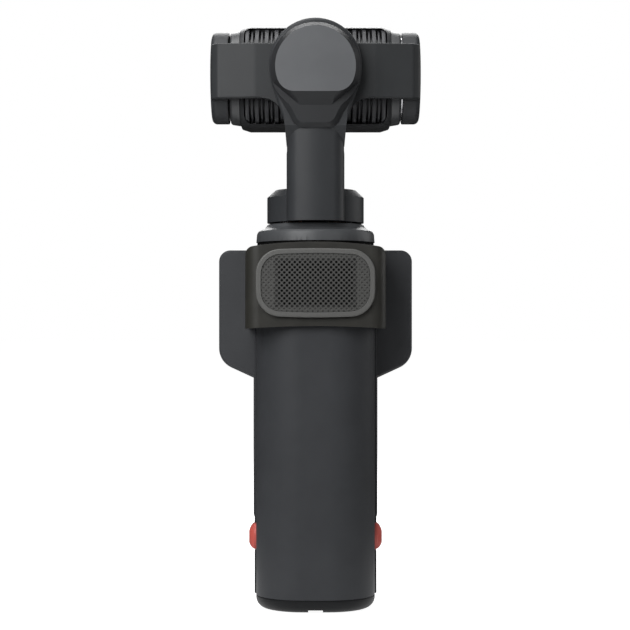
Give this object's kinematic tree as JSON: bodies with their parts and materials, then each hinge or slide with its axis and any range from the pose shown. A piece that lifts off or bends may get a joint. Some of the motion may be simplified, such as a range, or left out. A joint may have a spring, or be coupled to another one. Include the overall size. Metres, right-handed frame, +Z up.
{
  "type": "gimbal camera",
  "caption": "Pocket camera on a three-axis motor gimbal, with a long hand grip, a clip-on T-shaped screen unit and sprung side release keys",
  "frame": {"origin": "mouth of the tripod thread, in the middle of the base's underside", "axes": "+Z up the grip, +X to the right when the rear of the grip is seen, +Y from the rear towards the screen side, where the lenses look"},
  "size_m": [0.0578, 0.0408, 0.1611],
  "materials": {
    "grip_shell": "fine moulded texture, near black",
    "grip_frame": "fine moulded texture, near black",
    "steel": "turned",
    "brass": "machined",
    "battery_wrap": "heat-shrunk wrap",
    "inner_plastic": "moulded",
    "circuit_board": "solder mask",
    "magnet": "nickel plated",
    "release_red": "satin red",
    "saddle_smoke": "smoke tinted, slightly translucent",
    "grille_paint": "grey coated",
    "cloth": "black woven mesh",
    "neck_metal": "dark satin anodised",
    "motor_copper": "enamelled copper wire on steel core",
    "arm_metal": "dark bead-blasted, anodised",
    "lid_metal": "dark bead-blasted, anodised",
    "camera_metal": "dark anodised",
    "sink_metal": "dark anodised fins",
    "lens_metal": "black anodised",
    "lens_glass": "coated glass",
    "screen_glass": "black-backed cover glass",
    "display": "dark display",
    "unit_shell": "fine moulded texture",
    "unit_face": "fine moulded texture",
    "key_plastic": "satin",
    "stick_rubber": "soft grip"
  },
  "bodies": {
    "grip": {"rear_shell": "grip_shell", "front_frame": "grip_frame", "base_cap": "grip_shell", "base_screws": "steel", "tripod_insert": "brass", "charging_port": "steel", "battery_pack": "battery_wrap", "battery_cradle": "inner_plastic", "main_board": "circuit_board", "speaker": "inner_plastic", "dock_contacts": "brass", "dock_magnets": "magnet", "release_springs": "steel", "button_bracket": "inner_plastic", "saddle": "saddle_smoke", "grille_frame": "grille_paint", "grille_plate": "grille_paint", "acoustic_cloth": "cloth", "neck_ring": "neck_metal", "pan_stator": "motor_copper", "pan_bearings": "steel"},
    "release_right": {"release_button_right": "release_red"},
    "release_left": {"release_button_left": "release_red"},
    "pan_arm": {"arm": "arm_metal", "pan_magnet_ring": "magnet", "pan_shaft": "steel", "roll_lid": "lid_metal", "roll_stator": "motor_copper", "roll_bearings": "steel"},
    "roll_yoke": {"yoke": "arm_metal", "roll_magnet_ring": "magnet", "roll_shaft": "steel", "tilt_cap_left": "arm_metal", "tilt_cap_right": "arm_metal", "tilt_stator": "motor_copper", "tilt_bearings": "steel"},
    "camera": {"camera_rear_housing": "camera_metal", "camera_front_housing": "camera_metal", "camera_cheeks": "camera_metal", "heat_sink": "sink_metal", "sensor_board": "circuit_board", "lens_barrel_main": "lens_metal", "lens_barrel_tele": "lens_metal", "lens_glasses": "lens_glass", "lens_elements": "lens_glass", "tilt_magnet_ring": "magnet", "tilt_shafts": "steel"},
    "screen_unit": {"screen_unit_back": "unit_shell", "screen_unit_front": "unit_face", "screen_unit_contacts": "brass", "screen_glass": "screen_glass", "display_panel": "display", "unit_board": "circuit_board", "unit_battery": "battery_wrap", "unit_switches": "inner_plastic", "stick_base": "inner_plastic"},
    "record_key": {"record_button": "release_red"},
    "power_key": {"power_key": "key_plastic"},
    "stick_carrier": {"stick_ring": "inner_plastic"},
    "stick_lever": {"stick": "stick_rubber"}
  },
  "joints": [
    {"name": "pan", "type": "hinge", "parent": "grip", "child": "pan_arm", "pos_m": [0, 0, 0.11], "axis": [0, 0, 1], "range_deg": [-230, 60]},
    {"name": "roll", "type": "hinge", "parent": "pan_arm", "child": "roll_yoke", "pos_m": [0, -0.016, 0.147], "axis": [0, 1, 0], "range_deg": [-45, 45]},
    {"name": "tilt", "type": "hinge", "parent": "roll_yoke", "child": "camera", "pos_m": [0, 0.0052, 0.147], "axis": [1, 0, 0], "range_deg": [-90, 60]},
    {"name": "release_press_right", "type": "slide", "parent": "grip", "child": "release_right", "axis": [-1, 0, 0], "range_m": [0, 0.0008], "stiffness_N_per_m": 1500},
    {"name": "release_press_left", "type": "slide", "parent": "grip", "child": "release_left", "axis": [1, 0, 0], "range_m": [0, 0.0008], "stiffness_N_per_m": 1500},
    {"name": "unit_off", "type": "slide", "parent": "grip", "child": "screen_unit", "axis": [0, 1, 0], "range_m": [0, 0.012]},
    {"name": "record_press", "type": "slide", "parent": "screen_unit", "child": "record_key", "axis": [0, -1, 0], "range_m": [0, 0.0005], "stiffness_N_per_m": 2000},
    {"name": "power_press", "type": "slide", "parent": "screen_unit", "child": "power_key", "axis": [0, -1, 0], "range_m": [0, 0.00035], "stiffness_N_per_m": 2500},
    {"name": "stick_side", "type": "hinge", "parent": "screen_unit", "child": "stick_carrier", "pos_m": [0, 0.0129, 0.0395], "axis": [0, 0, 1], "range_deg": [-12, 12], "stiffness_Nm_per_rad": 0.02},
    {"name": "stick_updown", "type": "hinge", "parent": "stick_carrier", "child": "stick_lever", "pos_m": [0, 0.0129, 0.0395], "axis": [1, 0, 0], "range_deg": [-12, 12], "stiffness_Nm_per_rad": 0.02}
  ]
}
